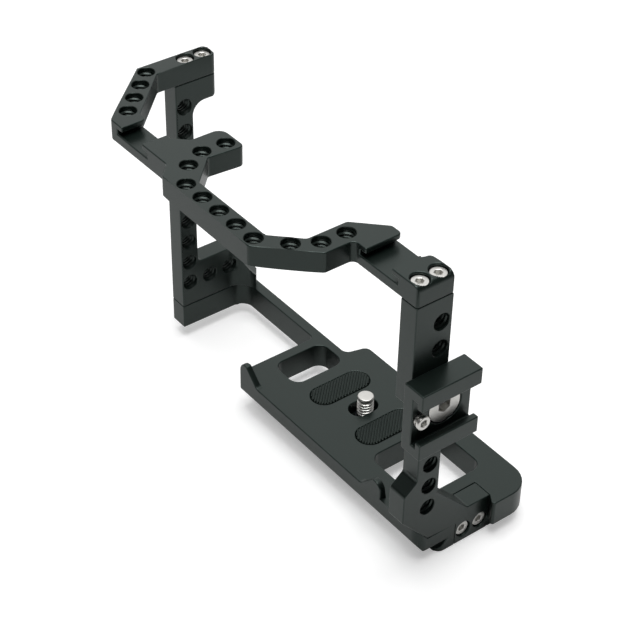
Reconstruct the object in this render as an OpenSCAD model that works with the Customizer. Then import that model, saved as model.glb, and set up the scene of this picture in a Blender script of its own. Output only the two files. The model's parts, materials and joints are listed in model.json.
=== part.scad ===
// Camera cage: a skeleton frame that bolts round a small mirrorless camera.
// It lies on its dovetail foot. +X is the port side, -X the hand-grip side,
// -Y the lens side and +Z up. Drawing heights start at the plate's top face.

/* [Frame] */
// Clear width between the two side frames
inner_w = 145.5; // [130:0.5:160]
// Clear height from the base plate to the top bar
inner_h = 101; // [92:0.5:115]
// Thickness of the grip-side frame and of the port-side upright
side_t = 7.8; // [7:0.1:9]
// Thickness of the top bar
bar_t = 8; // [7:0.1:10]
// Depth of the whole cage, from the top bar's front to the plate's back
cage_depth = 86.2; // [84:0.1:88]
// Thickness of the base plate above the dovetail
base_t = 10.5; // [9.5:0.1:12]

/* [Threads and screws] */
// Radius of a 1/4 inch accessory or camera thread
quarter_r = 3.175; // [3.1:0.005:3.2]
// Width of the bevel round the mouth of a 1/4 inch hole
mouth_bevel = 0.2; // [0.15:0.05:0.4]
// Shaft radius of the assembly screws
m3_r = 1.5; // [1.4:0.05:1.6]
// Head radius of the assembly screws
m3_head_r = 3; // [2.7:0.05:3.1]
// Head height of the assembly screws
m3_head_h = 2; // [1.6:0.1:2.4]
// Hexagon socket of the assembly screws, across the corners
m3_socket_d = 2.9; // [2.3:0.1:3.2]
// Thread length that the assembly screws reach into the second piece
m3_grip = 5; // [4:0.1:5.5]
// Radial gap round a screw in its thread
thread_gap = 0.05; // [0.02:0.01:0.09]
// Radial gap round a screw head and its shaft in the clamped piece
head_gap = 0.3; // [0.1:0.05:0.35]
// Depth of the top screws' heads below the top bar
top_sink = 1; // [0.5:0.05:1.2]
// Depth of the base screws' heads below the surface
base_sink = 0.8; // [0.4:0.05:1]
// Depth of the side shoe's clamp screw below the shoe's floor
clamp_sink = 0.2; // [0.1:0.05:0.5]

/* [Cold shoes] */
// Width of the slot that takes an accessory foot
shoe_slot_w = 18.7; // [18.5:0.1:19]
// Opening between the lips of the two top shoes
shoe_open_w = 12.6; // [12.4:0.1:14]
// Height of the slot
shoe_slot_h = 2.1; // [2:0.05:2.4]
// Thickness of the lips of the two top shoes
shoe_lip_t = 2.1; // [1.8:0.05:2.4]

/* [Top bar] */
// Front face of the main bar
bar_front_y = -45.2; // [-48:0.1:-43]
// Width of the main bar, front to back
bar_w = 7.8; // [7.6:0.1:9]
// Grip-side end of the main bar's front face
main_left_x = -16.5; // [-19:0.1:-14]
// Port-side end of the main bar's front face
main_right_x = 32.2; // [31.8:0.1:34]
// Where the grip-side arm bends, along the depth
far_bend_y = -13.5; // [-15:0.1:-12]
// Middle of the grip-side shoe
far_shoe_x = -43; // [-44:0.1:-42]
// Front of the grip-side shoe
far_shoe_front_y = -40; // [-41:0.1:-39]
// Length of the grip-side shoe
far_shoe_len = 10.2; // [9.5:0.1:11]
// Wall beside the grip-side shoe
far_shoe_wall = 4; // [3.5:0.1:5]
// Grip-side face of the branch
branch_left_x = -29.4; // [-30:0.1:-28.5]
// Width of the branch
branch_w = 12.7; // [12:0.1:13.5]
// Back end of the branch
branch_back_y = -12.2; // [-13:0.1:-10]
// Amount by which the branch widens toward its back end
branch_flare = 1.2; // [0:0.1:2]
// Bevel between the branch and the main bar, along each side
branch_bevel = 10.7; // [9:0.1:12]
// Bevel between the branch and the grip-side shoe, along each side
branch_shoe_bevel = 4.85; // [4:0.05:5.5]
// Inner face of the neck that leads to the port side
neck_x = 39.7; // [39:0.1:41]
// Width of the neck
neck_w = 9.7; // [9.2:0.1:10.5]
// Distance of the port-side shoe's middle from the cage's port face
near_shoe_in = 19.05; // [18.5:0.05:19.5]
// Where the neck starts to widen behind its last hole
neck_flare_y = -11.9; // [-12.5:0.1:-11]
// Width of the notch behind the port-side shoe
near_notch_w = 5; // [4:0.1:6]
// Depth of the notch behind the port-side shoe
near_notch_d = 4; // [3:0.1:5]
// Rounding of the bar's outer edge at the port side
bar_end_r = 2.3; // [1.5:0.1:2.5]
// Rounding of the tips of the shoes' lips
lip_tip_r = 1.8; // [1:0.1:2]
// Spacing of the holes along the main bar
main_pitch = 9.4; // [9:0.05:10]
// First hole of the main bar
main_hole_x = -7.85; // [-8.5:0.05:-7]
// First hole of the slanted arm, from its outer face
arm_hole_in = 4.3; // [4.2:0.05:4.6]
// Spacing of the holes of the slanted arm
arm_pitch = 9; // [8.8:0.05:9.2]
// Height of each hole of the branch over the main bar's front face
branch_hole_ys = [10.9, 19.2, 28.7]; // [5:0.1:30]
// Place across the branch of each of its holes, from its grip-side face
branch_hole_xs = [12.55, 8.25, 8.65]; // [4:0.05:13]
// Distance in front of the neck's flare of each hole of the neck
neck_hole_ys = [21.8, 13.4, 3.9]; // [3:0.1:24]
// Place across the neck of each of its holes, from its inner face
neck_hole_xs = [-0.75, 4.05, 4.85]; // [-2:0.05:6]

/* [Grip side frame] */
// Front face of the grip-side frame
grip_front_y = -2.6; // [-4:0.1:-1.5]
// Depth of its slim upright
grip_depth = 7.5; // [7.3:0.1:9]
// Depth of its head under the top bar
grip_head_depth = 18.2; // [17:0.1:19]
// Height of its head
grip_head_h = 9.6; // [8:0.1:11]
// Height of its wide foot
grip_foot_h = 19.3; // [18:0.1:22]
// Height of its foot over the rail, at the back
grip_tail_h = 6; // [5.5:0.1:8]
// Slope of the foot's back, from its top corner to the tail, along the depth
grip_slope = 6.4; // [5:0.1:8]
// Radius of the web between the foot and the rail
grip_web_r = 8; // [6:0.1:9]
// Height of the lowest hole
grip_hole_z = 10.8; // [10.6:0.1:12]
// Spacing of the lower holes
grip_pitch = 9.75; // [9.4:0.05:10]
// Spacing of the foot's holes along the depth
grip_foot_pitch = 9.3; // [9:0.05:9.6]
// Distance of the highest hole below the top bar
top_hole_drop = 9.8; // [9.6:0.1:11]
// Spacing of the two upper holes
top_hole_pitch = 10.6; // [9.5:0.1:11.5]
// First of the two screws under the top bar, from the frame's front face
grip_screw_in = 7.1; // [6.5:0.1:7.3]
// Spacing of the two screws through the top bar
screw_pitch = 7.5; // [7.3:0.1:7.7]
// Place of the two screws from below, from the frame's front face
grip_low_screws = [8.4, 27.1]; // [6:0.1:30]

/* [Port side upright] */
// Front face of the upright
port_front_y = -16.5; // [-17.5:0.1:-16]
// Depth of the upright
port_depth = 14.9; // [14.6:0.1:16]
// Height at which the upright narrows
port_step_z = 60.5; // [58:0.1:64]
// Amount by which the neck stands back
port_step = 5.3; // [4:0.1:5.6]
// Height at which the foot is back at full depth
port_foot_z = 21.2; // [20:0.1:24]
// Height of the slope between the foot and the neck
port_slope_h = 4.4; // [4:0.1:5.5]
// Height of the foot's front bevel
port_bevel_z = 9.1; // [8:0.1:10]
// Depth of the ledge cut into the base plate
port_ledge = 4.8; // [4.4:0.1:5.2]
// Run of the front bevel along the depth
port_bevel_run = 12.1; // [11.5:0.1:13]
// Front of the tongue that reaches the dovetail's underside
tongue_y = 8.6; // [8:0.1:9]
// Depth of the tongue
tongue_w = 15.4; // [15:0.1:16]
// Run of the brace behind the foot
brace_run = 15.3; // [13:0.1:16]
// Distance of the holes in front of the upright's back face
port_hole_in = 4.1; // [3.9:0.05:4.6]
// Height of the lowest hole
port_hole_z = 11.2; // [10.8:0.1:12]
// Spacing of the lower holes
port_pitch = 9.8; // [9.4:0.05:10]
// First screw through the top bar, from the upright's front face
port_screw_in = 3.9; // [3.5:0.05:3.95]
// Height of the two screws in the tongue below the plate's top face
tongue_screw_z = 10.1; // [9:0.1:10.5]
// First screw in the tongue, from its front face
tongue_screw_in = 3.8; // [3.5:0.05:3.9]
// Spacing of the two screws in the tongue
tongue_pitch = 7.9; // [7.6:0.1:8]

/* [Base plate] */
// Front edge of the plate
plate_front_y = -8.9; // [-10:0.1:-8]
// Grip-side edge of the plate
plate_left_x = -26.7; // [-28:0.1:-25.8]
// Length of the plate past the port-side upright
plate_end = 4.5; // [3:0.1:5]
// Depth of the slanted wall beside the upright's foot
plate_hook = 2.8; // [2:0.1:3.5]
// Radius of the big corner at the back
plate_corner_r = 15; // [10:0.1:16]
// Front bevel of the plate's underside, along the depth
under_bevel_y = 3; // [1.5:0.1:3.5]
// Front bevel of the plate's underside, along the height
under_bevel_z = 4.2; // [2:0.1:5]
// Depth of the rail behind the battery door
rail_w = 4.5; // [4:0.1:6]
// Back face of the rail
rail_back_y = 31.9; // [31:0.1:33]
// Where the rail's back face turns out to the plate
rail_turn_x = -12; // [-14:0.1:-10]
// Width of the double bend between rail and plate
rail_turn_w = 2.4; // [1:0.1:4]
// Radius of both corners of the double bend
rail_turn_r = 3; // [2:0.1:4]
// Radius of the inner corner at the grip side
rail_r = 5; // [3:0.1:6]
// Low corner of the small window
window_a_x = -22.2; // [-23:0.1:-21.5]
// Width of the small window
window_a_w = 14.2; // [13:0.1:15]
// Front of the small window
window_a_y = 5; // [4.5:0.1:6]
// Depth of the small window
window_a_d = 23; // [21:0.1:24]
// Low corner of the large window
window_b_x = 40.4; // [40:0.1:42]
// Width of the large window
window_b_w = 27; // [25:0.1:27.2]
// Front of the large window
window_b_y = 2.2; // [2:0.1:4]
// Depth of the large window
window_b_d = 29.8; // [28:0.1:30]
// Corner radius of the windows
window_r = 4.2; // [3:0.1:5]
// Length of a stop tab along its top
tab_len = 4.2; // [4:0.1:5]
// Height of a stop tab, which is also the length of its 45 degree ramp
tab_h = 6.5; // [4:0.1:7]
// Rounding of a stop tab's outer top corner
tab_r = 3.5; // [2:0.1:3.8]
// Rounding at the foot of a stop tab's ramp
tab_foot_r = 3; // [1:0.1:4]
// Thickness of a stop tab
tab_t = 2.5; // [2:0.1:3.5]
// Foot of the grip-side tab's ramp
tab_left_x = -14.4; // [-15.5:0.1:-13.5]
// Foot of the port-side tab's ramp
tab_right_x = 48.8; // [47:0.1:50]

/* [Dovetail] */
// Height of the dovetail under the plate
dove_h = 5.1; // [4.9:0.1:6]
// Width of the dovetail at its widest
dove_w = 38; // [37.8:0.1:38.4]
// Height of its upright edge
dove_edge = 0.7; // [0.5:0.1:1]
// Middle of the dovetail along the depth
dove_y = 19.6; // [19:0.1:20]
// Length of its main block, which is centred on the camera screw
dove_len = 38; // [34:0.1:38]
// Length of its short block at the plate's port end
dove_end_len = 15.2; // [14:0.1:17]
// Corner radius of both blocks
dove_r = 3; // [2:0.1:5]

/* [Camera screw] */
// Camera screw from the mid-plane
screw_x = 17.15; // [16.8:0.05:17.5]
// Rest place of the camera screw along its slot
screw_y = 18.5; // [18.2:0.05:18.8]
// Length of thread above the plate
screw_up = 4.9; // [4.5:0.1:6.5]
// Middle of the slot
slot_y = 17.5; // [17.3:0.05:17.7]
// Travel of the screw along the slot
slot_travel = 4; // [3.6:0.1:5]
// Width of the slot
slot_w = 6.8; // [6.6:0.1:7]
// Width of the recess at the top of the slot
recess_w = 8; // [7.9:0.1:8.4]
// Depth of the recess at the top of the slot
recess_h = 5; // [4:0.1:5.5]
// Radius of the retaining clip
clip_r = 3.8; // [3.7:0.05:3.9]
// Thickness of the retaining clip
clip_t = 0.7; // [0.5:0.05:0.8]
// Gap of the clip above the recess floor
clip_lift = 0.05; // [0.02:0.01:0.1]
// Radius of the groove that the clip sits in
groove_r = 2.6; // [2.4:0.05:2.7]
// Radius of the screw's head
head_r = 6.5; // [6:0.1:6.6]
// Height of the screw's head
head_h = 3; // [2.5:0.1:3.2]
// Thickness of the washer over the head
washer_t = 0.8; // [0.5:0.05:1]
// Width of the pocket under the slot
pocket_w = 14; // [13.7:0.1:14.5]
// Hexagon socket of the camera screw, across the corners
key_d = 5.5; // [4.6:0.1:6]
// Depth of that socket
key_h = 2; // [1.5:0.1:2.2]

/* [Pads] */
// Width of a rubber pad
pad_w = 10; // [9:0.1:11]
// Length of a rubber pad
pad_len = 25.4; // [24:0.1:27]
// Distance of the pads from the camera screw
pad_offset = 13.7; // [13:0.1:14]
// Middle of the pads along the depth
pad_y = 17.3; // [17:0.1:18]
// Depth of the pads' recess
pad_sink = 1.2; // [0.8:0.1:1.5]
// Height of the pads above the plate
pad_up = 0.6; // [0.3:0.1:1]
// Gap round a pad
pad_gap = 0.3; // [0.2:0.05:0.5]

/* [Side shoe] */
// Depth of the side shoe block
block_t = 9.2; // [8.8:0.1:10]
// Length of the block
block_len = 25.1; // [24:0.1:27]
// Height of the block
block_h = 27; // [26:0.1:28]
// Opening between the lips of the block
block_open = 14; // [13.6:0.1:14.5]
// Thickness of the block's lips
block_lip = 2.5; // [2.3:0.1:2.8]
// Height of the block's middle above the plate
block_z = 60; // [59:0.1:61]
// Distance of the block's front end before the clamp screw
block_front = 14.1; // [13.5:0.1:15]
// Radius of the clamp screw's head
clamp_head_r = 6.6; // [6:0.1:6.7]
// Height of the clamp screw's head
clamp_head_h = 2.6; // [2.2:0.1:2.7]
// Distance of the stop screw before the clamp screw
stop_out = 11.2; // [10.8:0.1:11.3]
// Radius of the stop screw's head
stop_head_r = 2.6; // [2.2:0.1:2.7]
// Height of the stop screw's head over the shoe's floor
stop_head_h = 2.8; // [2.4:0.1:3.2]
// Radius of the locating pins
pin_r = 1; // [0.8:0.05:1.2]
// Depth of the locating pins in each piece
pin_in = 3; // [2.5:0.1:3.4]
// Distance of the locating pins above and below the clamp screw
pin_out = 10.5; // [10:0.1:11]
// Radial gap round a locating pin
pin_gap = 0.02; // [0.01:0.01:0.05]

/* [Hidden] */
$fn = 64;
// Overrun of every cut past the face that it leaves
over = 1;
// Straight pieces that make up one rounded corner
arc_steps = 8;
// Small, middle and large rounding of machined corners
edge_r = 1;
soft_r = 2;
round_r = 4;
// Depth of a hexagon socket as a share of its screw's head
socket_share = 0.65;
// Radius of the fillet under the grip-side frame's head, as a share of round_r
head_fillet_share = 1.5;
// Gap before the end of a screw of the side shoe
end_gap = 0.4;
// Shares of a stop screw's head taken by its collar, its waist and its cap
stop_height_shares = [0, 0.28, 0.5, 1];
stop_radius_shares = [0.86, 0.66, 1];

// Outer and inner faces of the two side frames
grip_out_x = -inner_w / 2 - side_t;
grip_in_x = -inner_w / 2;
port_in_x = inner_w / 2;
port_out_x = inner_w / 2 + side_t;
grip_mid_x = -inner_w / 2 - side_t / 2;
port_mid_x = inner_w / 2 + side_t / 2;

// Back faces of the uprights and of the plate
plate_back_y = bar_front_y + cage_depth;
port_back_y = port_front_y + port_depth;
grip_back_y = grip_front_y + grip_depth;
head_back_y = grip_front_y + grip_head_depth;

// Heights
bar_top_z = inner_h + bar_t;
shoe_floor_z = bar_top_z - shoe_lip_t - shoe_slot_h;
foot_z = -base_t - dove_h;

// Faces of the top bar
bar_back_y = bar_front_y + bar_w;
far_shoe_left_x = far_shoe_x - shoe_slot_w / 2 - far_shoe_wall;
far_shoe_back_y = far_shoe_front_y + far_shoe_len;
branch_right_x = branch_left_x + branch_w;
neck_out_x = neck_x + neck_w;
near_shoe_x = port_out_x - near_shoe_in;
near_left_x = neck_x - neck_flare_y + port_back_y;
arm_in_y = far_bend_y + side_t * tan(22.5);
arm_way = unit(unit([far_shoe_left_x - grip_out_x, far_shoe_front_y - far_bend_y])
    + unit([far_shoe_x - shoe_slot_w / 2 - edge_r - grip_in_x, far_shoe_back_y - arm_in_y]));

// Screw seats of the assembly screws
seat_r = m3_head_r + head_gap;
top_seat_h = m3_head_h + top_sink;
base_seat_h = m3_head_h + base_sink;
clamp_seat_h = clamp_head_h + clamp_sink;

// Plan places of the screws
grip_screws = [for (i = [0, 1]) [grip_mid_x, grip_front_y + grip_screw_in + i * screw_pitch]];
port_screws = [for (i = [0, 1]) [port_mid_x, port_front_y + port_screw_in + i * screw_pitch]];
low_screws = [for (d = grip_low_screws) [grip_mid_x, grip_front_y + d]];
tongue_screws = [for (i = [0, 1]) tongue_y + tongue_screw_in + i * tongue_pitch];

// Camera screw heights
pocket_top_z = -base_t;
washer_z = pocket_top_z - washer_t;
clip_z = clip_lift - recess_h;

// Side shoe
clamp_y = port_back_y - port_hole_in;
block_y = clamp_y - block_front;
block_x = port_out_x;
block_floor = block_t - block_lip - shoe_slot_h;
stop_y = clamp_y - stop_out;

// Box of the whole cage, which sets its origin
low_x = grip_out_x;
high_x = port_out_x + block_t;
low_y = bar_front_y;
high_y = plate_back_y;

// Colours as photographed
anodised = [0.2, 0.21, 0.22];
bright_steel = [0.8, 0.8, 0.78];
dark_rubber = [0.09, 0.09, 0.09];

function unit(v) = v / norm(v);

// Points of one corner at p, between a and b, rounded with radius r
function corner(a, p, b, r) =
    r == 0 ? [p] :
    let (
        u = unit(a - p),
        w = unit(b - p),
        half = acos(u * w) / 2,
        room = min(norm(a - p), norm(b - p)) / 2,
        run = min(r / tan(half), room),
        fit_r = run * tan(half),
        mid = p + unit(u + w) * run / cos(half),
        start = p + u * run - mid,
        stop = p + w * run - mid,
        a0 = atan2(start[1], start[0]),
        turn = (atan2(stop[1], stop[0]) - a0 + 900) % 360 - 180
    )
    [for (k = [0 : arc_steps]) mid + fit_r * [cos(a0 + turn * k / arc_steps), sin(a0 + turn * k / arc_steps)]];

// Outline whose points are [x, y, corner radius]
function rounded(points) =
    let (n = len(points))
    [for (i = [0 : n - 1])
        let (a = points[(i + n - 1) % n], p = points[i], b = points[(i + 1) % n])
        each corner([a[0], a[1]], [p[0], p[1]], [b[0], b[1]], p[2])];

// Moves the drawing so that the origin is below the cage's middle
module place() {
    translate([-(low_x + high_x) / 2, -(low_y + high_y) / 2, -foot_z]) children();
}

// Outside of a corner at [0, 0] of a solid that lies left and below, rounded with radius r
function beyond_corner(r) = concat(
    [for (k = [0 : arc_steps]) r * [cos(90 * k / arc_steps) - 1, sin(90 * k / arc_steps) - 1]],
    [[-r, over], [over, over], [over, -r]]
);

// Prism with an outline in Y and Z, from x to x + t
module along_x(x, t) {
    translate([x, 0, 0]) rotate([90, 0, 90]) linear_extrude(t) children();
}

// Prism with an outline in X and Z, from y to y + t
module along_y(y, t) {
    translate([0, y + t, 0]) rotate([90, 0, 0]) linear_extrude(t) children();
}

// Upright prism between two heights
module along_z(z, h) {
    translate([0, 0, z]) linear_extrude(h) children();
}

// Plan outline with straight sides and round ends along Y
module stadium(w, len) {
    square([w, len - w], center = true);
    for (s = [-1, 1]) translate([0, s * (len - w) / 2]) circle(d = w);
}

// Plan rectangle with rounded corners
module soft_box(x, y, w, d, r) {
    polygon(rounded([[x, y, r], [x + w, y, r], [x + w, y + d, r], [x, y + d, r]]));
}

// Cut for a 1/4 inch thread through a wall from 0 to t, bevelled at both mouths
module quarter_cut(t) {
    mouth_r = quarter_r + mouth_bevel;
    translate([0, 0, -over]) cylinder(r = quarter_r, h = t + 2 * over);
    translate([0, 0, -over]) cylinder(r1 = mouth_r + over, r2 = quarter_r, h = mouth_bevel + over);
    translate([0, 0, t - mouth_bevel]) cylinder(r1 = quarter_r, r2 = mouth_r + over, h = mouth_bevel + over);
}

// 1/4 inch cut along X, from x to x + t
module quarter_cut_x(x, y, z, t) {
    translate([x, y, z]) rotate([0, 90, 0]) quarter_cut(t);
}

// Cap screw: its seat lies at height 0, its head above and its shaft below
module cap_screw(shaft_r, length, cap_r, cap_h, socket_d, socket_h) {
    difference() {
        union() {
            translate([0, 0, -length]) cylinder(r = shaft_r, h = length);
            cylinder(r = cap_r, h = cap_h);
        }
        translate([0, 0, cap_h - socket_h]) cylinder(d = socket_d, h = socket_h + over, $fn = 6);
    }
}

// Assembly screw through a piece of a given thickness under its head
module assembly_screw(through) {
    cap_screw(m3_r, through + m3_grip, m3_head_r, m3_head_h, m3_socket_d, m3_head_h * socket_share);
}

// Cut for an assembly screw in the clamped piece: its seat lies at height 0
module seat_cut(depth, through) {
    cylinder(r = seat_r, h = depth + over);
    translate([0, 0, -through - over]) cylinder(r = m3_r + head_gap, h = through + 2 * over);
}

// Cut for the thread of an assembly screw below height 0
module thread_cut() {
    translate([0, 0, -m3_grip - head_gap]) cylinder(r = m3_r + thread_gap, h = m3_grip + head_gap + over);
}

function top_bar_outline() =
    let (
        back = far_shoe_back_y,
        jog = far_shoe_front_y - bar_front_y,
        notch_x = near_shoe_x + shoe_open_w / 2 + edge_r
    )
    rounded([
        [grip_out_x, head_back_y, soft_r],
        [grip_out_x, far_bend_y, soft_r],
        [far_shoe_left_x, far_shoe_front_y, soft_r],
        [main_left_x - jog, far_shoe_front_y, soft_r],
        [main_left_x, bar_front_y, soft_r],
        [main_right_x, bar_front_y, soft_r],
        [neck_out_x, bar_front_y + neck_out_x - main_right_x, soft_r],
        [neck_out_x, port_front_y, soft_r],
        [port_out_x, port_front_y, edge_r],
        [port_out_x, port_back_y, 0],
        [notch_x, port_back_y, soft_r],
        [notch_x, port_back_y - near_notch_d, 0],
        [notch_x - near_notch_w, port_back_y, 0],
        [near_left_x, port_back_y, soft_r],
        [neck_x, neck_flare_y, soft_r],
        [neck_x, bar_front_y + neck_x - main_right_x + bar_w + soft_r, soft_r],
        [main_right_x - soft_r, bar_back_y, soft_r],
        [branch_right_x + branch_bevel, bar_back_y, soft_r],
        [branch_right_x, bar_back_y + branch_bevel, soft_r],
        [branch_right_x + branch_flare, branch_back_y, soft_r],
        [branch_left_x, branch_back_y, round_r],
        [branch_left_x, back + branch_shoe_bevel, soft_r],
        [branch_left_x - branch_shoe_bevel, back, 0],
        [far_shoe_x - shoe_slot_w / 2 - edge_r, back, 0],
        [grip_in_x, arm_in_y, soft_r],
        [grip_in_x, head_back_y, soft_r]
    ]);

// Cold shoe cut from y0 to y1: slot, opening between two lips and the round tip of one lip
module shoe_cut(x, y0, y1) {
    len = y1 - y0 + 2 * over;
    translate([x - shoe_slot_w / 2, y0 - over, 0]) cube([shoe_slot_w, len, shoe_slot_h]);
    translate([x - shoe_open_w / 2, y0 - over, 0]) cube([shoe_open_w, len, shoe_slot_h + shoe_lip_t + over]);
    translate([x - shoe_open_w / 2, y1, 0])
        along_z(0, shoe_slot_h + shoe_lip_t + over) polygon(beyond_corner(lip_tip_r));
}

module top_bar() color(anodised) place() difference() {
    along_z(inner_h, bar_t) polygon(top_bar_outline());
    translate([0, 0, shoe_floor_z]) {
        shoe_cut(far_shoe_x, far_shoe_front_y, far_shoe_back_y);
        shoe_cut(near_shoe_x, port_front_y, port_back_y);
    }
    translate([0, 0, inner_h]) {
        for (i = [0 : 4]) {
            translate([main_hole_x + i * main_pitch, bar_front_y + bar_w / 2, 0]) quarter_cut(bar_t);
        }
        for (i = [0 : 3]) {
            translate([grip_out_x + arm_hole_in, far_bend_y + edge_r, 0])
                translate(i * arm_pitch * [arm_way[0], arm_way[1], 0]) quarter_cut(bar_t);
        }
        for (i = [0 : 2]) {
            translate([branch_left_x + branch_hole_xs[i], bar_front_y + branch_hole_ys[i], 0])
                quarter_cut(bar_t);
            translate([neck_x + neck_hole_xs[i], neck_flare_y - neck_hole_ys[i], 0]) quarter_cut(bar_t);
        }
    }
    for (p = concat(grip_screws, port_screws)) {
        translate([p[0], p[1], bar_top_z - top_seat_h]) seat_cut(top_seat_h, bar_t - top_seat_h);
    }
    translate([port_out_x, 0, bar_top_z])
        along_y(port_front_y - over, port_depth + 2 * over) polygon(beyond_corner(bar_end_r));
}

// Side outline of the grip-side frame, in Y and Z
function grip_outline() =
    let (
        slope_top_y = rail_back_y - rail_w - grip_slope,
        head_z = inner_h - grip_head_h
    )
    rounded([
        [grip_front_y, 0, 0],
        [rail_back_y, 0, 0],
        [rail_back_y, grip_tail_h, edge_r],
        [rail_back_y - rail_w, grip_tail_h + edge_r, round_r],
        [slope_top_y, grip_foot_h, soft_r],
        [grip_back_y, grip_foot_h, soft_r],
        [grip_back_y, head_z, head_fillet_share * round_r],
        [head_back_y, head_z, soft_r],
        [head_back_y, inner_h, 0],
        [grip_front_y, inner_h, 0]
    ]);

// Plan outline of the web that joins the frame's foot to the rail
function web_outline() =
    let (
        face_y = rail_back_y - rail_w,
        mid = [grip_in_x + grip_web_r, face_y - grip_web_r]
    )
    concat(
        [for (k = [0 : arc_steps]) mid + grip_web_r * [-cos(90 * k / arc_steps), sin(90 * k / arc_steps)]],
        [[grip_in_x + soft_r, rail_back_y], [grip_mid_x, rail_back_y], [grip_mid_x, mid[1]]]
    );

module grip_side_frame() color(anodised) place() difference() {
    mid_y = grip_front_y + grip_depth / 2;
    union() {
        along_x(grip_out_x, side_t) polygon(grip_outline());
        intersection() {
            along_x(grip_mid_x, side_t + grip_web_r) polygon(grip_outline());
            along_z(0, grip_foot_h) polygon(web_outline());
        }
    }
    for (i = [0 : 3]) quarter_cut_x(grip_out_x, mid_y, grip_hole_z + i * grip_pitch, side_t);
    for (i = [1, 2]) quarter_cut_x(grip_out_x, mid_y + i * grip_foot_pitch, grip_hole_z, side_t);
    for (i = [0, 1]) quarter_cut_x(grip_out_x, mid_y, inner_h - top_hole_drop - i * top_hole_pitch, side_t);
    for (p = grip_screws) translate([p[0], p[1], inner_h]) thread_cut();
    for (p = low_screws) translate([p[0], p[1], 0]) mirror([0, 0, 1]) thread_cut();
    along_z(inner_h - grip_head_h - over, grip_head_h + 2 * over) {
        translate([grip_in_x, head_back_y]) polygon(beyond_corner(soft_r));
        translate([grip_out_x, head_back_y]) mirror([1, 0]) polygon(beyond_corner(soft_r));
    }
}

// Side outline of the port-side upright, in Y and Z
function port_outline() =
    let (neck_y = port_front_y + port_step)
    rounded([
        [tongue_y, foot_z, 0],
        [tongue_y + tongue_w, foot_z, 0],
        [tongue_y + tongue_w, 0, 0],
        [port_back_y + brace_run, 0, 0],
        [port_back_y, brace_run, round_r],
        [port_back_y, inner_h, 0],
        [port_front_y, inner_h, 0],
        [port_front_y, port_step_z, edge_r],
        [neck_y, port_step_z, soft_r],
        [neck_y, port_foot_z + port_slope_h, soft_r],
        [port_front_y, port_foot_z, soft_r],
        [port_front_y, port_bevel_z, 0],
        [port_front_y + port_bevel_run, -port_ledge, 0],
        [tongue_y, -port_ledge, 0]
    ]);

module port_side_upright() color(anodised) place() difference() {
    along_x(port_in_x, side_t) polygon(port_outline());
    for (i = [0 : 2]) quarter_cut_x(port_in_x, clamp_y, port_hole_z + i * port_pitch, side_t);
    for (i = [0, 1]) quarter_cut_x(port_in_x, clamp_y, inner_h - top_hole_drop - i * top_hole_pitch, side_t);
    quarter_cut_x(port_in_x, clamp_y, block_z, side_t);
    for (p = port_screws) translate([p[0], p[1], inner_h]) thread_cut();
    for (y = tongue_screws) {
        translate([port_out_x - base_seat_h, y, -tongue_screw_z])
            rotate([0, 90, 0]) seat_cut(base_seat_h, side_t - base_seat_h);
    }
    pin_cuts();
}

// Blind holes for the two locating pins, in the upright and in the block
module pin_cuts() {
    for (s = [-1, 1]) {
        translate([block_x - pin_in - pin_gap, clamp_y, block_z + s * pin_out])
            rotate([0, 90, 0]) cylinder(r = pin_r + pin_gap, h = 2 * (pin_in + pin_gap));
    }
}

// Plan outline of the base plate with the rail and the foot under the grip-side frame
function base_outline() =
    let (
        end_x = port_out_x + plate_end,
        foot_back_y = tongue_y + tongue_w,
        rail_y = rail_back_y - rail_w,
        tab_x = tab_left_x - tab_h - tab_len
    )
    rounded([
        [grip_out_x, grip_front_y, 0],
        [grip_in_x, grip_front_y, 0],
        [grip_in_x, rail_y, rail_r],
        [plate_left_x, rail_y, soft_r],
        [plate_left_x, plate_front_y + tab_h, soft_r],
        [tab_x, plate_front_y + tab_h - soft_r, edge_r],
        [tab_x, plate_front_y, 0],
        [port_out_x, plate_front_y, round_r],
        [port_out_x, foot_back_y, 0],
        [end_x, foot_back_y - plate_hook, edge_r],
        [end_x, plate_back_y, plate_corner_r],
        [rail_turn_x + rail_turn_w, plate_back_y, rail_turn_r],
        [rail_turn_x, rail_back_y, rail_turn_r],
        [grip_out_x, rail_back_y, soft_r]
    ]);

// Cross-section of the dovetail, in Y and Z
function dove_outline() =
    let (
        half = dove_w / 2,
        slant = dove_h - dove_edge
    )
    [
        [dove_y - half, foot_z],
        [dove_y + half, foot_z],
        [dove_y + half, foot_z + dove_edge],
        [dove_y + half - slant, -base_t],
        [dove_y + half - slant, -base_t + over],
        [dove_y - half + slant, -base_t + over],
        [dove_y - half + slant, -base_t],
        [dove_y - half, foot_z + dove_edge]
    ];

// Block of the dovetail that starts at x
module dovetail(x, len) intersection() {
    along_x(x, len) polygon(dove_outline());
    along_z(foot_z - over, dove_h + 2 * over) soft_box(x, dove_y - dove_w / 2, len, dove_w, dove_r);
}

// Stop tab whose ramp starts at x and rises in the direction s
module stop_tab(x, s) {
    top_x = x + s * (tab_h + tab_len);
    arc_mid = [top_x - s * tab_r, tab_h - tab_r];
    arc = [for (k = [0 : arc_steps]) arc_mid + tab_r * [s * sin(90 * k / arc_steps), cos(90 * k / arc_steps)]];
    foot = corner([x - s * tab_len, 0], [x, 0], [x + s * tab_h, tab_h], tab_foot_r);
    along_y(plate_front_y, tab_t) polygon(concat(
        [[x - s * tab_len, -over], [x - s * tab_len, 0]],
        foot,
        [[x + s * tab_h, tab_h]],
        arc,
        [[top_x, -over]]
    ));
}

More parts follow.
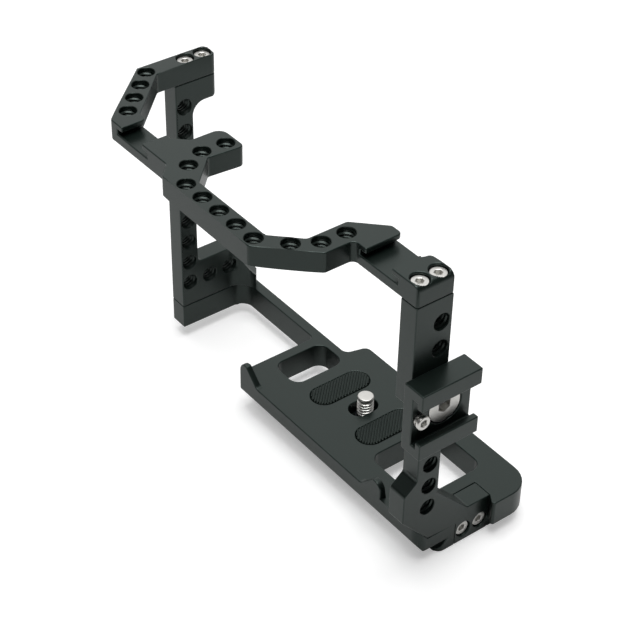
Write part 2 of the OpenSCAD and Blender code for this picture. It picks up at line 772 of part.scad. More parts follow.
module base_plate() color(anodised) place() difference() {
    union() {
        along_z(-base_t, base_t) polygon(base_outline());
        dovetail(screw_x - dove_len / 2, dove_len);
        dovetail(port_out_x - dove_end_len, dove_end_len);
        stop_tab(tab_left_x, -1);
        stop_tab(tab_right_x, 1);
    }
    along_x(port_in_x, side_t) polygon(port_outline());
    along_x(plate_left_x - over, port_out_x - plate_left_x + 2 * over)
        polygon([[plate_front_y - over, -base_t - over], [plate_front_y + under_bevel_y, -base_t - over],
            [plate_front_y + under_bevel_y, -base_t], [plate_front_y, under_bevel_z - base_t],
            [plate_front_y - over, under_bevel_z - base_t]]);
    along_z(foot_z - over, base_t + dove_h + 2 * over) {
        soft_box(window_a_x, window_a_y, window_a_w, window_a_d, window_r);
        soft_box(window_b_x, window_b_y, window_b_w, window_b_d, window_r);
    }
    translate([screw_x, slot_y, 0]) {
        along_z(-base_t - over, base_t + 2 * over) stadium(slot_w, slot_w + slot_travel);
        along_z(-recess_h, recess_h + over) stadium(recess_w, recess_w + slot_travel);
        along_z(foot_z - over, pocket_top_z - foot_z + over) stadium(pocket_w, pocket_w + slot_travel);
    }
    for (s = [-1, 1]) {
        translate([screw_x + s * pad_offset, pad_y, 0])
            along_z(-pad_sink, pad_sink + over) stadium(pad_w + 2 * pad_gap, pad_len + 2 * pad_gap);
    }
    for (p = low_screws) {
        translate([p[0], p[1], base_seat_h - base_t]) mirror([0, 0, 1])
            seat_cut(base_seat_h, base_t - base_seat_h);
    }
    for (y = tongue_screws) {
        translate([port_in_x, y, -tongue_screw_z]) rotate([0, 90, 0]) thread_cut();
    }
}

// Cross-section of the side shoe block, in depth and height
function block_outline() =
    let (
        half = block_h / 2,
        slot = shoe_slot_w / 2,
        gap = block_open / 2,
        lip_in = block_t - block_lip
    )
    [
        [0, -half], [block_t, -half], [block_t, -gap], [lip_in, -gap],
        [lip_in, -slot], [block_floor, -slot], [block_floor, slot], [lip_in, slot],
        [lip_in, gap], [block_t, gap], [block_t, half], [0, half]
    ];

module side_shoe_block() color(anodised) place() difference() {
    translate([block_x, 0, block_z]) along_y(block_y, block_len) polygon(block_outline());
    translate([block_x, clamp_y, block_z]) rotate([0, 90, 0]) {
        translate([0, 0, -over]) cylinder(r = quarter_r + head_gap, h = block_t);
        translate([0, 0, block_floor - clamp_seat_h]) cylinder(r = clamp_head_r + head_gap, h = block_t);
    }
    translate([block_x - over, stop_y, block_z]) rotate([0, 90, 0])
        cylinder(r = m3_r + thread_gap, h = block_floor + 2 * over);
    pin_cuts();
}

module side_shoe_clamp_screw() color(bright_steel) place()
    translate([block_x + block_floor - clamp_seat_h, clamp_y, block_z]) rotate([0, 90, 0])
        cap_screw(quarter_r - thread_gap, side_t + block_floor - clamp_seat_h - end_gap,
            clamp_head_r, clamp_head_h, key_d, clamp_head_h * socket_share);

module side_shoe_stop_screw() color(bright_steel) place()
    translate([block_x + block_floor, stop_y, block_z]) rotate([0, 90, 0]) difference() {
        union() {
            translate([0, 0, end_gap - block_floor]) cylinder(r = m3_r, h = block_floor);
            for (i = [0 : 2]) {
                z0 = stop_head_h * stop_height_shares[i];
                z1 = stop_head_h * stop_height_shares[i + 1];
                translate([0, 0, z0]) cylinder(r = stop_head_r * stop_radius_shares[i], h = z1 - z0);
            }
        }
        translate([0, 0, stop_head_h * stop_height_shares[2]]) cylinder(d = m3_socket_d, h = stop_head_h, $fn = 6);
    }

module side_shoe_locating_pins() color(bright_steel) place()
    for (s = [-1, 1]) {
        translate([block_x - pin_in, clamp_y, block_z + s * pin_out])
            rotate([0, 90, 0]) cylinder(r = pin_r, h = 2 * pin_in);
    }

module top_screws(places) color(bright_steel) place()
    for (p = places) translate([p[0], p[1], bar_top_z - top_seat_h]) assembly_screw(bar_t - top_seat_h);

module base_screws_grip_side() color(bright_steel) place()
    for (p = low_screws) {
        translate([p[0], p[1], base_seat_h - base_t]) mirror([0, 0, 1]) assembly_screw(base_t - base_seat_h);
    }

module base_screws_port_side() color(bright_steel) place()
    for (y = tongue_screws) {
        translate([port_out_x - base_seat_h, y, -tongue_screw_z])
            rotate([0, 90, 0]) assembly_screw(side_t - base_seat_h);
    }

module camera_screw() color(bright_steel) place() translate([screw_x, screw_y, 0]) difference() {
    union() {
        translate([0, 0, washer_z - head_h]) cylinder(r = head_r, h = head_h);
        translate([0, 0, washer_z]) cylinder(r = quarter_r, h = clip_z - washer_z);
        translate([0, 0, clip_z]) cylinder(r = groove_r, h = clip_t);
        translate([0, 0, clip_z + clip_t]) cylinder(r = quarter_r, h = screw_up - clip_z - clip_t);
    }
    translate([0, 0, washer_z - head_h - over]) cylinder(d = key_d, h = key_h + over, $fn = 6);
}

// Flat ring round the camera screw
module screw_ring(z, inner_r, outer_r, t) {
    translate([screw_x, screw_y, z]) difference() {
        cylinder(r = outer_r, h = t);
        translate([0, 0, -over]) cylinder(r = inner_r, h = t + 2 * over);
    }
}

module camera_screw_clip() color(bright_steel) place()
    screw_ring(clip_z + thread_gap / 2, groove_r + thread_gap, clip_r, clip_t - thread_gap);

module camera_screw_washer() color(bright_steel) place()
    screw_ring(washer_z + thread_gap, quarter_r + thread_gap, head_r, washer_t - 2 * thread_gap);

module pad(s) color(dark_rubber) place()
    translate([screw_x + s * pad_offset, pad_y, 0]) along_z(-pad_sink, pad_sink + pad_up) stadium(pad_w, pad_len);

top_bar();
grip_side_frame();
port_side_upright();
base_plate();
side_shoe_block();
side_shoe_clamp_screw();
side_shoe_stop_screw();
side_shoe_locating_pins();
top_screws(grip_screws);  // top_screws_grip_side
top_screws(port_screws);  // top_screws_port_side
base_screws_grip_side();
base_screws_port_side();
camera_screw();
camera_screw_clip();
camera_screw_washer();
pad(-1);  // pad_grip_side
pad(1);  // pad_port_side
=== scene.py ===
import json
from math import cos, pi, radians, sin
import bmesh
import bpy
from mathutils import Matrix, Vector
from mathutils.bvhtree import BVHTree


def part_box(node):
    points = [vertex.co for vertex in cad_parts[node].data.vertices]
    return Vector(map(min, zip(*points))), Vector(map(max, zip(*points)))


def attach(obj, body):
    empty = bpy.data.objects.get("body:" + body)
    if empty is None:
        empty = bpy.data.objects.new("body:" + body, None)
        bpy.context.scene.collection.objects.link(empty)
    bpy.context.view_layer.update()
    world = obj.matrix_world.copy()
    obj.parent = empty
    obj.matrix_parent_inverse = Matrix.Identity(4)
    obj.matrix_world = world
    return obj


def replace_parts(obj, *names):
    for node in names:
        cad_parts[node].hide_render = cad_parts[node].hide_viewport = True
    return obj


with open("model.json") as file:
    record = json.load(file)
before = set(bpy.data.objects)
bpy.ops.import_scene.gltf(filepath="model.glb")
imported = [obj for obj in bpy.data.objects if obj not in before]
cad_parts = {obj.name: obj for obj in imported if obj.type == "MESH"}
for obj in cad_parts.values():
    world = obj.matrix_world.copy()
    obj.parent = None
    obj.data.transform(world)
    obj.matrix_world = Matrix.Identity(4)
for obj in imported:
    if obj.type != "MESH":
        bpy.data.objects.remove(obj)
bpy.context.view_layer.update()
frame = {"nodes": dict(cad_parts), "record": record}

# Sizes are in millimetres and turns in degrees, except where a comment says otherwise
MM = 0.001
UP = Vector((0, 0, 1))
# How far from a height or a radius a point of the CAD still counts as being there
NEAR = 0.1

# Bodies that the pieces ride on, and the record's material slots
CAGE = "cage"
CARRIAGE = "screw_carriage"
SCREW_BODY = "camera_screw_body"

# Merging and shading of a copy of a CAD node
JOIN_GAP = 0.001
MERGE_ANGLE = 0.4
SMOOTH_ANGLE = 32

# Broken edges
SHARP_ANGLE = 28
MILLED_EDGE = 0.45
SCREW_EDGE = 0.3
PAD_EDGE = 0.2
EDGE_STEPS = 3
# An edge is broken only where the faces beside it go on flat for this many widths of the bevel. Flat
# means off by no more than a share of that reach, with the cosine of the turn over the value given.
FLAT_REACH = 2
FLAT_GAP = 0.12
FLAT_COSINE = 0.8
# Where that is tried, as shares of the edge's length and of the reach
TRIED_ALONG = (0.02, 0.5, 0.98)
TRIED_OUT = (0.5, 1)
# Room kept plain round the mouths of the threaded holes, and past the holes' ends
MOUTH_ROOM = 0.5
MOUTH_DEPTH = 1

# Milled pieces
MILLED = ("top_bar", "grip_side_frame", "port_side_upright", "base_plate", "side_shoe_block")

# Quarter inch thread, 20 turns to the inch: widths of its ridge, and radii in the holes and on the screw
PITCH = 1.27
RIDGE_FOOT = 1.1
RIDGE_TIP = 0.25
BORE_FOOT_R = 3.24
BORE_TIP_R = 2.7
SCREW_FOOT_R = 2.5
SCREW_TIP_R = 3.14
# Plain length at each end of a threaded hole
THREAD_START = 0.5
# Steps in a turn, and how many of them the ridge takes to rise at each end, from a share of its height
THREAD_STEPS = 32
RAMP_STEPS = 12
RAMP_LOW = 0.05
# Pieces of thread, one for each milled piece, and how the names of its holes start
THREADED = {
    "top_bar_threads": ("main_bar", "arm", "branch", "neck"),
    "grip_side_threads": ("grip_",),
    "port_side_threads": ("port_",),
}

# Turned pieces, and the way that their heads or upper ends face
TURNED = {
    "side_shoe_clamp_screw": (1, 0, 0),
    "side_shoe_stop_screw": (1, 0, 0),
    "side_shoe_locating_pins": (1, 0, 0),
    "top_screws_grip_side": (0, 0, 1),
    "top_screws_port_side": (0, 0, 1),
    "base_screws_grip_side": (0, 0, -1),
    "base_screws_port_side": (1, 0, 0),
    "camera_screw_washer": (0, 0, 1),
}
# Hexagon sockets: from the axis to a corner, depth in the CAD, and how much deeper they are drawn
SMALL_SOCKET = (1.45, 1.3, 0.8)
SOCKETS = {
    "side_shoe_clamp_screw": (2.75, 1.69, 0.9),
    "top_screws_grip_side": SMALL_SOCKET,
    "top_screws_port_side": SMALL_SOCKET,
    "base_screws_grip_side": SMALL_SOCKET,
    "base_screws_port_side": SMALL_SOCKET,
}
# Points of a head that lie this close to its top are its rim
RIM_GAP = 0.01

# Camera screw: the height of its clip's groove, and the depths below its top at which its smooth tip
# starts and at which the tip has its full radius
GROOVE_TOP = 11.35
TIP_START = 1.8
TIP_FULL = 1.2
# The tip's outline, as radii and depths, and the steps of its turn
TIP_OUTLINE = ((0, TIP_START), (2.4, TIP_START), (SCREW_TIP_R, TIP_FULL), (SCREW_TIP_R, 0.55), (3, 0.2),
               (2.7, 0), (0, 0))
TIP_STEPS = 48
# Points of the tip this close together are one, which closes it on its axis
POLE_GAP = 0.0001
# Points of the shaft further out than this are its wall, which ends a little inside the tip
SHAFT_WALL = 3
SHAFT_SINK = 0.3
# How deep the ridge's foot is set into the shaft
RIDGE_SINK = 0.04

# Ribbed pads
PADS = ("pad_grip_side", "pad_port_side")
RIB_HEIGHT = 0.6
RIB_R = 0.3
RIB_SIDES = 12
RIB_PITCH = 1
RIB_TURN = -45
RIBS_A_SIDE = 12
# A rib ends this far inside the pad's edge, which is looked for in small steps both ways from its middle
RIB_EDGE = 0.1
RIB_STEP = 0.05
RIB_TRIES = 400
SHORTEST_RIB = 1

# Floor and lamp, in metres and watts, and the light that the floor shows the camera of its own
FLOOR_SIZE = 6
FLOOR_LIFT = 0.38
LAMP_PLACE = (0.08, -0.08, 1.1)
LAMP_AIM = (0, 0, 0.05)
LAMP_SIZE = 0.8
LAMP_POWER = 11

# The room's bright side, the cosines of the turn from it between which it brightens, and its levels
BRIGHT_SIDE = (-0.7, 0.45, 0.55)
BRIGHT_START = 0.4
BRIGHT_FULL = 0.95
ROOM_LOW = 0.06
ROOM_HIGH = 1.0

# Camera, at the photograph's viewing angle
CAMERA_AZIMUTH = 51.69
CAMERA_ELEVATION = 38.11
CAMERA_ROLL = 1.351
CAMERA_PLACE = (384.65, -295.9, 438.6)
CAMERA_LENS = 97.15
CAMERA_SENSOR = 36


def hex_colour(text):
    """Linear colour of an sRGB hex value."""
    parts = [int(text[i:i + 2], 16) / 255 for i in (1, 3, 5)]
    return [part / 12.92 if part <= 0.04045 else ((part + 0.055) / 1.055) ** 2.4 for part in parts] + [1]


def add(tree, kind, settings=None, **links):
    """Adds one node: settings are its own values, links go to its inputs by name or by number."""
    node = tree.nodes.new(kind)
    for name, value in (settings or {}).items():
        setattr(node, name, value)
    for name, value in links.items():
        socket = node.inputs[int(name[1:])] if name[1:].isdigit() else node.inputs[name.replace("_", " ")]
        if isinstance(value, bpy.types.NodeSocket):
            tree.links.new(value, socket)
        else:
            socket.default_value = value
    return node


def new_material(name):
    """An empty material with its node tree."""
    material = bpy.data.materials.new(name)
    material.use_nodes = True
    material.node_tree.nodes.clear()
    return material, material.node_tree


def per_mm(size):
    """Texture scale at which one feature is that many millimetres."""
    return 1 / (size * MM)


def black_anodised():
    # Milled 6061 aluminium, bead blasted and anodised black: a satin near-black that is painted a little
    # paler on the broken edges, partly as edge wear and partly as a painted highlight where the edges catch
    # the light.
    # The blasted grain is really 0.1 mm and is drawn at 0.4 mm, so that it shows.
    material, tree = new_material("black_anodised_aluminium")
    place = add(tree, "ShaderNodeTexCoord").outputs["Object"]
    cloud = add(tree, "ShaderNodeTexNoise", Vector=place, Scale=per_mm(14), Detail=3).outputs["Fac"]
    grain = add(tree, "ShaderNodeTexNoise", Vector=place, Scale=per_mm(0.4), Detail=2).outputs["Fac"]
    # The broken edges are painted paler: partly edge wear, partly a painted highlight where the edges catch
    # the light
    wear_and_edge_highlight = add(tree, "ShaderNodeAttribute", {"attribute_name": "broken_edge"}).outputs["Fac"]
    dye = add(tree, "ShaderNodeMix", {"data_type": "RGBA"}, Factor=cloud, _6=hex_colour("#0a110f"),
              _7=hex_colour("#101815")).outputs[2]
    rub_and_highlight = add(tree, "ShaderNodeMath", {"operation": "MULTIPLY"}, _0=wear_and_edge_highlight, _1=cloud).outputs[0]
    colour = add(tree, "ShaderNodeMix", {"data_type": "RGBA"}, Factor=rub_and_highlight, _6=dye,
                 _7=hex_colour("#1c2523")).outputs[2]
    rough = add(tree, "ShaderNodeMapRange", Value=grain, To_Min=0.28, To_Max=0.36).outputs[0]
    bump = add(tree, "ShaderNodeBump", Height=grain, Strength=0.1, Distance=0.02 * MM).outputs[0]
    shader = add(tree, "ShaderNodeBsdfPrincipled", Base_Color=colour, Roughness=rough, Normal=bump)
    shader.inputs["IOR"].default_value = 1.5
    shader.inputs["Specular Tint"].default_value = hex_colour("#ecfff8")
    add(tree, "ShaderNodeOutputMaterial", Surface=shader.outputs[0])
    return material


def turned_steel():
    # Stainless steel, turned and left satin: pale, with fine rings from the tool round each screw's own
    # axis and a soft cloudiness. The rings are really 0.05 mm and are drawn at 0.3 mm.
    material, tree = new_material("turned_stainless_steel")
    place = add(tree, "ShaderNodeTexCoord").outputs["Object"]
    own = add(tree, "ShaderNodeAttribute", {"attribute_name": "own_place"}).outputs["Vector"]
    axis = add(tree, "ShaderNodeAttribute", {"attribute_name": "own_axis"}).outputs["Vector"]
    around = add(tree, "ShaderNodeVectorMath", {"operation": "CROSS_PRODUCT"}, _0=axis, _1=own).outputs[0]
    reach = add(tree, "ShaderNodeVectorMath", {"operation": "LENGTH"}, _0=around).outputs["Value"]
    waves = add(tree, "ShaderNodeMath", {"operation": "MULTIPLY"}, _0=reach,
                _1=2 * pi * per_mm(0.3)).outputs[0]
    rings = add(tree, "ShaderNodeMath", {"operation": "SINE"}, _0=waves).outputs[0]
    cloud = add(tree, "ShaderNodeTexNoise", Vector=place, Scale=per_mm(1.6), Detail=2).outputs["Fac"]
    colour = add(tree, "ShaderNodeMix", {"data_type": "RGBA"}, Factor=cloud, _6=hex_colour("#cbcac6"),
                 _7=hex_colour("#dddcd8")).outputs[2]
    rough = add(tree, "ShaderNodeMapRange", Value=rings, From_Min=-1, To_Min=0.32, To_Max=0.42).outputs[0]
    shader = add(tree, "ShaderNodeBsdfPrincipled", Base_Color=colour, Roughness=rough)
    shader.inputs["Metallic"].default_value = 1
    add(tree, "ShaderNodeOutputMaterial", Surface=shader.outputs[0])
    return material


def spring_steel():
    # Blued spring steel, stamped: nearly black, with a mottled oxide
    material, tree = new_material("blued_spring_steel")
    place = add(tree, "ShaderNodeTexCoord").outputs["Object"]
    mottle = add(tree, "ShaderNodeTexNoise", Vector=place, Scale=per_mm(1), Detail=3).outputs["Fac"]
    colour = add(tree, "ShaderNodeMix", {"data_type": "RGBA"}, Factor=mottle, _6=hex_colour("#2a2c2f"),
                 _7=hex_colour("#3d4043")).outputs[2]
    rough = add(tree, "ShaderNodeMapRange", Value=mottle, To_Min=0.35, To_Max=0.5).outputs[0]
    shader = add(tree, "ShaderNodeBsdfPrincipled", Base_Color=colour, Roughness=rough)
    shader.inputs["Metallic"].default_value = 1
    add(tree, "ShaderNodeOutputMaterial", Surface=shader.outputs[0])
    return material


def moulded_rubber():
    # Black silicone rubber, moulded: matt, with a faint mottle
    material, tree = new_material("moulded_black_rubber")
    place = add(tree, "ShaderNodeTexCoord").outputs["Object"]
    mottle = add(tree, "ShaderNodeTexNoise", Vector=place, Scale=per_mm(0.6), Detail=4).outputs["Fac"]
    colour = add(tree, "ShaderNodeMix", {"data_type": "RGBA"}, Factor=mottle, _6=hex_colour("#0c1110"),
                 _7=hex_colour("#151c1a")).outputs[2]
    rough = add(tree, "ShaderNodeMapRange", Value=mottle, To_Min=0.5, To_Max=0.62).outputs[0]
    bump = add(tree, "ShaderNodeBump", Height=mottle, Strength=0.2, Distance=0.02 * MM).outputs[0]
    shader = add(tree, "ShaderNodeBsdfPrincipled", Base_Color=colour, Roughness=rough, Normal=bump)
    shader.inputs["Specular Tint"].default_value = hex_colour("#e2f8ee")
    add(tree, "ShaderNodeOutputMaterial", Surface=shader.outputs[0])
    return material


def white_board():
    # White matt board. Seen by the camera it gets a little light of its own, so that it is white away
    # from the object and still keeps the object's shadow.
    material, tree = new_material("white_board")
    seen = add(tree, "ShaderNodeLightPath").outputs["Is Camera Ray"]
    lift = add(tree, "ShaderNodeMath", {"operation": "MULTIPLY"}, _0=seen, _1=FLOOR_LIFT).outputs[0]
    board = add(tree, "ShaderNodeBsdfDiffuse", Color=hex_colour("#e6e6e6"))
    glow = add(tree, "ShaderNodeEmission", Color=hex_colour("#ffffff"), Strength=lift)
    both = add(tree, "ShaderNodeAddShader", _0=board.outputs[0], _1=glow.outputs[0])
    add(tree, "ShaderNodeOutputMaterial", Surface=both.outputs[0])
    return material


def finished(name, shape, material, body):
    """Makes a piece from a bmesh, already in place, and rides it on its body."""
    mesh = bpy.data.meshes.new(name)
    shape.to_mesh(mesh)
    shape.free()
    mesh.polygons.foreach_set("use_smooth", [True] * len(mesh.polygons))
    mesh.set_sharp_from_angle(angle=radians(SMOOTH_ANGLE))
    mesh.materials.append(material)
    piece = bpy.data.objects.new(name, mesh)
    bpy.context.scene.collection.objects.link(piece)
    weights = piece.modifiers.new("face_weights", "WEIGHTED_NORMAL")
    weights.keep_sharp = True
    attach(piece, body)
    return piece


def merged(node):
    """A copy of a CAD node with its loose triangles joined into whole faces."""
    shape = bmesh.new()
    shape.from_mesh(frame["nodes"][node].data)
    bmesh.ops.remove_doubles(shape, verts=shape.verts, dist=JOIN_GAP * MM)
    bmesh.ops.dissolve_limit(shape, angle_limit=radians(MERGE_ANGLE), verts=shape.verts, edges=shape.edges)
    shape.normal_update()
    return shape


def threaded_holes():
    """The quarter inch holes of the record, with their middles in metres and their sizes in mm."""
    return [{
        "name": mount["name"],
        "middle": Vector(mount["pos_m"]),
        "axis": Vector(mount["axis"]).normalized(),
        "r": mount["dims"]["r_mm"],
        "length": mount["dims"]["length_mm"],
    } for mount in frame["record"]["mounts"] if mount["kind"] == "threaded_hole"]


def near_hole(point, hole):
    """Whether a point is in the room that is kept plain round a threaded hole."""
    away = point - hole["middle"]
    along = away.dot(hole["axis"])
    aside = (away - along * hole["axis"]).length
    return aside < (hole["r"] + MOUTH_ROOM) * MM and abs(along) < (hole["length"] / 2 + MOUTH_DEPTH) * MM


def wide_face(surface, edge, face, reach):
    """Whether the surface goes on flat from all of an edge, as far as reach, on one face's side."""
    start = next(loop for loop in edge.link_loops if loop.face == face)
    along = start.link_loop_next.vert.co - start.vert.co
    inward = face.normal.cross(along).normalized()
    for share in TRIED_ALONG:
        point = start.vert.co + share * along
        for out in TRIED_OUT:
            _, normal, _, gap = surface.find_nearest(point + inward * reach * out)
            if gap > FLAT_GAP * reach or normal.dot(face.normal) < FLAT_COSINE:
                return False
    return True


def roomy_edges(shape, width, spare):
    """Sharp edges whose two faces are both wide enough for a bevel of that width.

    Edges at the mouth of a spared hole and edges beside a face that is bevelled already are left out.
    """
    mark = shape.faces.layers.float.get("broken_edge") or shape.faces.layers.float.new("broken_edge")
    surface = BVHTree.FromBMesh(shape)
    found = []
    for edge in shape.edges:
        if len(edge.link_faces) != 2 or edge.calc_face_angle() < radians(SHARP_ANGLE):
            continue
        if any(face[mark] for face in edge.link_faces):
            continue
        middle = (edge.verts[0].co + edge.verts[1].co) / 2
        if any(near_hole(middle, hole) for hole in spare):
            continue
        if all(wide_face(surface, edge, face, FLAT_REACH * width * MM) for face in edge.link_faces):
            found.append(edge)
    return found


def break_edges(shape, width, spare=()):
    """Bevels the edges that have room and marks the new faces, where the finish is painted paler: wear and
    highlight.
    """
    edges = roomy_edges(shape, width, spare)
    made = bmesh.ops.bevel(shape, geom=edges, offset=width * MM, offset_type="OFFSET", segments=EDGE_STEPS,
                           profile=0.5, affect="EDGES", clamp_overlap=False, material=-1)
    mark = shape.faces.layers.float["broken_edge"]
    for face in made["faces"]:
        face[mark] = 1
    shape.normal_update()


def joined_to(vert):
    """The vertices of the solid that a vertex is part of."""
    solid = {vert}
    front = [vert]
    while front:
        for edge in front.pop().link_edges:
            for other in edge.verts:
                if other not in solid:
                    solid.add(other)
                    front.append(other)
    return solid


def solids_of(shape):
    """The separate solids of a bmesh, each as a set of vertices."""
    left = set(shape.verts)
    found = []
    while left:
        solid = joined_to(next(iter(left)))
        left -= solid
        found.append(solid)
    return found


def deepen(shape, axis, reach, depth, deeper):
    """Moves the floors of the screws' sockets further into their heads."""
    for solid in solids_of(shape):
        top = max(vert.co.dot(axis) for vert in solid)
        rim = [vert.co for vert in solid if vert.co.dot(axis) > top - RIM_GAP * MM]
        middle = sum(rim, Vector()) / len(rim)
        for vert in solid:
            away = vert.co - middle
            down = -away.dot(axis)
            aside = (away + axis * down).length
            if abs(down - depth * MM) < NEAR * MM and aside < (reach + NEAR) * MM:
                vert.co -= axis * deeper * MM
    shape.normal_update()


def box_middle(solid):
    """The middle of the box round a solid's vertices."""
    low = Vector([min(vert.co[i] for vert in solid) for i in range(3)])
    high = Vector([max(vert.co[i] for vert in solid) for i in range(3)])
    return (low + high) / 2


def mark_turning(shape, axis, middle=None):
    """Writes each solid's axis, and each vertex's place from the solid's middle, for the rings.

    A middle is given for a screw that is made of several solids.
    """
    own = shape.verts.layers.float_vector.new("own_place")
    way = shape.verts.layers.float_vector.new("own_axis")
    for solid in solids_of(shape):
        centre = box_middle(solid) if middle is None else middle
        for vert in solid:
            vert[own] = vert.co - centre
            vert[way] = axis


def add_ridge(shape, start, axis, turns, foot_r, tip_r):
    """Adds one helical ridge round an axis, which rises from its foot at both ends."""
    side = axis.orthogonal().normalized()
    profile = ((foot_r, -RIDGE_FOOT), (foot_r, RIDGE_FOOT), (tip_r, RIDGE_TIP), (tip_r, -RIDGE_TIP))
    ring = [shape.verts.new(start + side * r * MM + axis * width / 2 * MM) for r, width in profile]
    edges = [shape.edges.new(pair) for pair in zip(ring, ring[1:] + ring[:1])]
    steps = round(turns * THREAD_STEPS)
    bmesh.ops.spin(shape, geom=ring + edges, cent=start, axis=axis, angle=2 * pi * steps / THREAD_STEPS,
                   steps=steps, dvec=axis * PITCH * MM / THREAD_STEPS, use_merge=False)
    ridge = joined_to(ring[0])
    for vert in ridge:
        height = (vert.co - start).dot(axis)
        out = vert.co - start - axis * height
        if abs(out.length - foot_r * MM) < abs(out.length - tip_r * MM):
            continue
        around = side.angle(out)
        if side.cross(out).dot(axis) < 0:
            around = 2 * pi - around
        share = around / (2 * pi)
        step = (share + round(height / (PITCH * MM) - share)) * THREAD_STEPS
        risen = max(RAMP_LOW, min(1, step / RAMP_STEPS, (steps - step) / RAMP_STEPS))
        vert.co = start + axis * height + out.normalized() * (foot_r + (tip_r - foot_r) * risen) * MM
    edges = {edge for vert in ridge for edge in vert.link_edges}
    bmesh.ops.holes_fill(shape, edges=[edge for edge in edges if len(edge.link_faces) == 1], sides=4)
    faces = {face for vert in ridge for face in vert.link_faces}
    bmesh.ops.recalc_face_normals(shape, faces=list(faces))


def thread_hole(shape, hole):
    """Adds the ridge of one threaded hole, plain at both ends."""
    turns = (hole["length"] - RIDGE_FOOT - 2 * THREAD_START) / PITCH
    start = hole["middle"] - hole["axis"] * turns * PITCH * MM / 2
    add_ridge(shape, start, hole["axis"], turns, BORE_FOOT_R, BORE_TIP_R)


def camera_screw():
    """The camera screw: its shaft drawn in to the thread's core, then a smooth tip and the ridge."""
    mount = next(mount for mount in frame["record"]["mounts"] if mount["name"] == "camera_screw")
    centre = Vector((mount["pos_m"][0], mount["pos_m"][1], 0))
    top = round(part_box("camera_screw")[1].z / MM, 3)
    shape = merged("camera_screw")
    for vert in shape.verts:
        out = Vector((vert.co.x - centre.x, vert.co.y - centre.y, 0))
        if vert.co.z > (GROOVE_TOP - NEAR) * MM and out.length > SHAFT_WALL * MM:
            drawn = centre + out.normalized() * SCREW_FOOT_R * MM
            vert.co = Vector((drawn.x, drawn.y, min(vert.co.z, (top - SHAFT_SINK) * MM)))
    tip = [shape.verts.new(centre + Vector((r, 0, top - depth)) * MM) for r, depth in TIP_OUTLINE]
    tip_edges = [shape.edges.new(pair) for pair in zip(tip, tip[1:])]
    bmesh.ops.spin(shape, geom=tip + tip_edges, cent=centre, axis=UP, angle=2 * pi, steps=TIP_STEPS,
                   use_merge=True)
    high_verts = [vert for vert in shape.verts if vert.co.z > (top - TIP_START - NEAR) * MM]
    bmesh.ops.remove_doubles(shape, verts=high_verts, dist=POLE_GAP * MM)
    turns = (top - TIP_FULL - GROOVE_TOP - RIDGE_FOOT) / PITCH
    add_ridge(shape, centre + UP * (GROOVE_TOP + RIDGE_FOOT / 2) * MM, UP, turns, SCREW_FOOT_R - RIDGE_SINK,
              SCREW_TIP_R)
    bmesh.ops.recalc_face_normals(shape, faces=shape.faces)
    mark_turning(shape, UP, centre)
    return shape


def rib_span(foot, along, pad_r, reach):
    """Where the rib through a point of the pad starts and ends, measured along it from that point."""
    inside = []
    for step in range(-RIB_TRIES, RIB_TRIES + 1):
        point = foot + along * step * RIB_STEP
        nearest = Vector((0, max(-reach, min(reach, point.y)), 0))
        if (point - nearest).length < pad_r - RIB_EDGE:
            inside.append(step * RIB_STEP)
    return (inside[0], inside[-1]) if inside else (0, 0)


def ribbed_pad(node):
    """A pad with its slab lowered by the ribs' height, and the ribs across it at their turn."""
    low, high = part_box(node)
    middle = (low + high) / 2
    pad_r = round((high.x - low.x) / 2 / MM, 3)
    reach = round((high.y - low.y) / 2 / MM, 3) - pad_r
    shape = merged(node)
    for vert in shape.verts:
        if vert.co.z > high.z - NEAR * MM:
            vert.co.z -= RIB_HEIGHT * MM
    break_edges(shape, PAD_EDGE)
    along = Vector((cos(radians(RIB_TURN)), sin(radians(RIB_TURN)), 0))
    across = Vector((-along.y, along.x, 0))
    lying = Matrix.Rotation(radians(RIB_TURN), 4, "Z") @ Matrix.Rotation(radians(90), 4, "Y")
    for row in range(-RIBS_A_SIDE, RIBS_A_SIDE + 1):
        foot = across * row * RIB_PITCH
        start, end = rib_span(foot, along, pad_r, reach)
        if end - start < SHORTEST_RIB:
            continue
        centre = Vector((middle.x, middle.y, high.z - RIB_HEIGHT * MM))
        centre += (foot + along * (start + end) / 2) * MM
        place = Matrix.Translation(centre) @ Matrix.Diagonal((1, 1, RIB_HEIGHT / RIB_R, 1))
        bmesh.ops.create_cone(shape, cap_ends=True, segments=RIB_SIDES, radius1=RIB_R * MM,
                              radius2=RIB_R * MM, depth=(end - start) * MM, matrix=place @ lying)
    return shape


def lay_floor():
    """A plain pale floor under the object."""
    shape = bmesh.new()
    bmesh.ops.create_grid(shape, x_segments=1, y_segments=1, size=FLOOR_SIZE / 2)
    mesh = bpy.data.meshes.new("floor")
    shape.to_mesh(mesh)
    shape.free()
    mesh.materials.append(white_board())
    floor = bpy.data.objects.new("floor", mesh)
    bpy.context.scene.collection.objects.link(floor)


def light_room():
    """A room that is bright behind the object, as the camera sees it, and white in the picture."""
    world = bpy.data.worlds.new("white_room")
    world.use_nodes = True
    bpy.context.scene.world = world
    tree = world.node_tree
    tree.nodes.clear()
    seen = add(tree, "ShaderNodeLightPath").outputs["Is Camera Ray"]
    direction = add(tree, "ShaderNodeTexCoord").outputs["Generated"]
    facing = add(tree, "ShaderNodeVectorMath", {"operation": "DOT_PRODUCT"}, _0=direction,
                 _1=BRIGHT_SIDE).outputs["Value"]
    level = add(tree, "ShaderNodeMapRange", Value=facing, From_Min=BRIGHT_START, From_Max=BRIGHT_FULL,
                To_Min=ROOM_LOW, To_Max=ROOM_HIGH).outputs[0]
    room = add(tree, "ShaderNodeBackground", Color=hex_colour("#ffffff"), Strength=level)
    white = add(tree, "ShaderNodeBackground", Color=hex_colour("#ffffff"), Strength=1.0)
    both = add(tree, "ShaderNodeMixShader", Fac=seen, _1=room.outputs[0], _2=white.outputs[0])
    add(tree, "ShaderNodeOutputWorld", Surface=both.outputs[0])


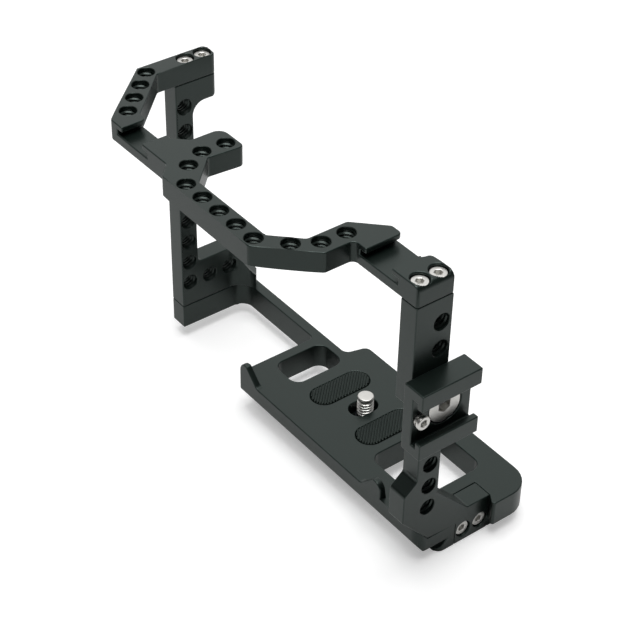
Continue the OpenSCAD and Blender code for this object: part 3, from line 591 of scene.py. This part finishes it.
def hang_lamp():
    """A large soft lamp overhead."""
    lamp = bpy.data.lights.new("overhead_softbox", "AREA")
    lamp.shape = "SQUARE"
    lamp.size = LAMP_SIZE
    lamp.energy = LAMP_POWER
    holder = bpy.data.objects.new("overhead_softbox", lamp)
    holder.location = LAMP_PLACE
    holder.rotation_mode = "QUATERNION"
    holder.rotation_quaternion = (Vector(LAMP_AIM) - Vector(LAMP_PLACE)).to_track_quat("-Z", "Y")
    bpy.context.scene.collection.objects.link(holder)


def place_camera():
    """The camera, from its azimuth, elevation and roll."""
    turn = radians(CAMERA_AZIMUTH)
    rise = radians(CAMERA_ELEVATION)
    roll = radians(CAMERA_ROLL)
    forward = Vector((-sin(turn) * cos(rise), cos(turn) * cos(rise), -sin(rise)))
    right = Vector((cos(turn), sin(turn), 0))
    up = right.cross(forward)
    camera_x = cos(roll) * right + sin(roll) * up
    camera_y = cos(roll) * up - sin(roll) * right
    camera = bpy.data.objects.new("camera", bpy.data.cameras.new("camera"))
    camera.data.lens = CAMERA_LENS
    camera.data.sensor_width = CAMERA_SENSOR
    pose = Matrix((camera_x, camera_y, -forward)).transposed().to_4x4()
    pose.translation = Vector(CAMERA_PLACE) * MM
    camera.matrix_world = pose
    bpy.context.scene.collection.objects.link(camera)
    bpy.context.scene.camera = camera


holes = threaded_holes()
anodised = black_anodised()
steel = turned_steel()
spring = spring_steel()
rubber = moulded_rubber()

# Milled pieces, with their edges broken
for node in MILLED:
    shape = merged(node)
    break_edges(shape, MILLED_EDGE, holes)
    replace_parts(finished(node + "_milled", shape, anodised, CAGE), node)

# Threads in their holes
for name, starts in THREADED.items():
    shape = bmesh.new()
    for hole in holes:
        if hole["name"].startswith(starts):
            thread_hole(shape, hole)
    finished(name, shape, anodised, CAGE)

# Turned pieces, with deeper sockets and broken rims
for node, way in TURNED.items():
    shape = merged(node)
    if node in SOCKETS:
        deepen(shape, Vector(way), *SOCKETS[node])
    break_edges(shape, SCREW_EDGE)
    mark_turning(shape, Vector(way))
    body = CARRIAGE if node == "camera_screw_washer" else CAGE
    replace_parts(finished(node + "_turned", shape, steel, body), node)

# Camera screw, with its thread
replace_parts(finished("camera_screw_threaded", camera_screw(), steel, SCREW_BODY), "camera_screw")

# Rubber pads, with their ribs
for node in PADS:
    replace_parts(finished(node + "_ribbed", ribbed_pad(node), rubber, CAGE), node)

# The camera screw's clip is the one CAD node that shows
for node in frame["nodes"].values():
    if not node.hide_render:
        node.data.materials.clear()
        node.data.materials.append(spring)

# Stage, light and camera
lay_floor()
light_room()
hang_lamp()
place_camera()
bpy.context.scene.view_settings.view_transform = "Standard"
